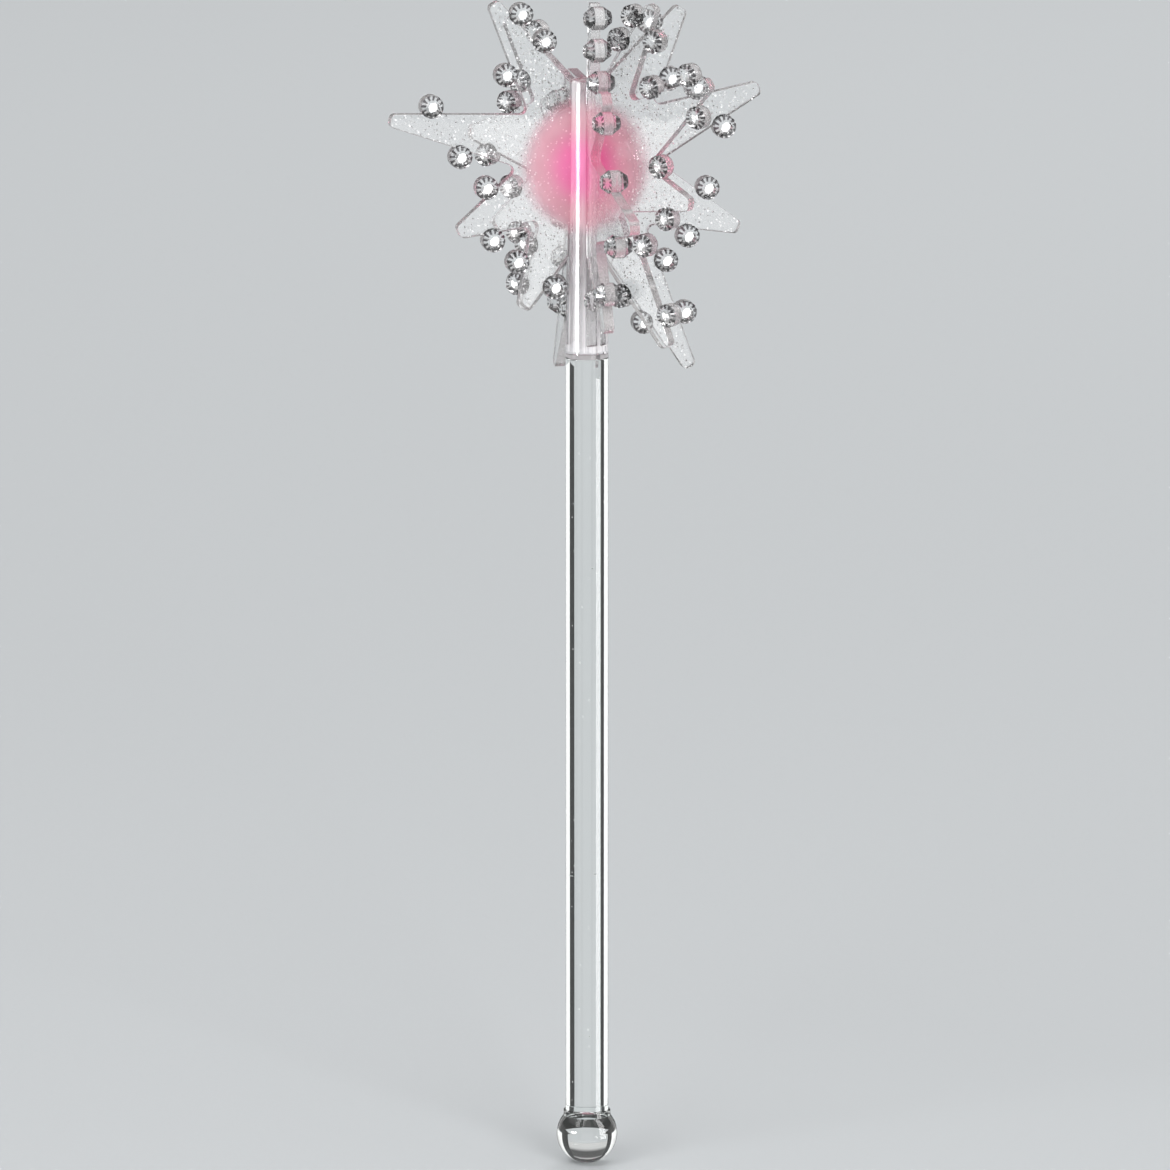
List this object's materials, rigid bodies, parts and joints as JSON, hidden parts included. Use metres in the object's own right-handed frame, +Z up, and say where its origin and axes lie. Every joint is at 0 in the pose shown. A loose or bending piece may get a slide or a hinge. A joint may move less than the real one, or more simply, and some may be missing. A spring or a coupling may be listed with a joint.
{
  "type": "toy magic wand",
  "caption": "Toy magic wand: a clear rod with a ball foot and, on a slotted clear post, crossing starburst wings edged with faceted silver gems round a soft pink middle.",
  "frame": {"origin": "on the rod's axis, in the middle of the stretch that a hand holds, 75 mm above the middle of the foot ball", "axes": "+Z up along the rod, from the foot ball to the starburst head; -Y towards the viewer; +X to the viewer's right"},
  "size_m": [0.1094, 0.105, 0.3511],
  "materials": {
    "clear_rod": "cast clear acrylic rod, polished",
    "clear_ball": "cast clear acrylic ball, polished",
    "clear_post": "moulded clear plastic with a slight haze and a pink tinted middle",
    "glitter_sheet": "clear sheet with fine silver glitter cast in, pink airbrushed middle",
    "silver_gem": "faceted flat-back gem with a silver foil back"
  },
  "bodies": {
    "root": {"rod": "clear_rod", "foot_ball": "clear_ball", "head_post": "clear_post", "wing_right": "glitter_sheet", "gems_right_near_face": "silver_gem", "gems_right_far_face": "silver_gem", "wing_left": "glitter_sheet", "gems_left_near_face": "silver_gem", "gems_left_far_face": "silver_gem", "wing_front_right": "glitter_sheet", "gems_front_right_near_face": "silver_gem", "gems_front_right_far_face": "silver_gem", "wing_back_left": "glitter_sheet", "gems_back_left_near_face": "silver_gem", "gems_back_left_far_face": "silver_gem", "wing_front": "glitter_sheet", "gems_front_near_face": "silver_gem", "gems_front_far_face": "silver_gem", "wing_back": "glitter_sheet", "gems_back_near_face": "silver_gem", "gems_back_far_face": "silver_gem"}
  },
  "joints": []
}
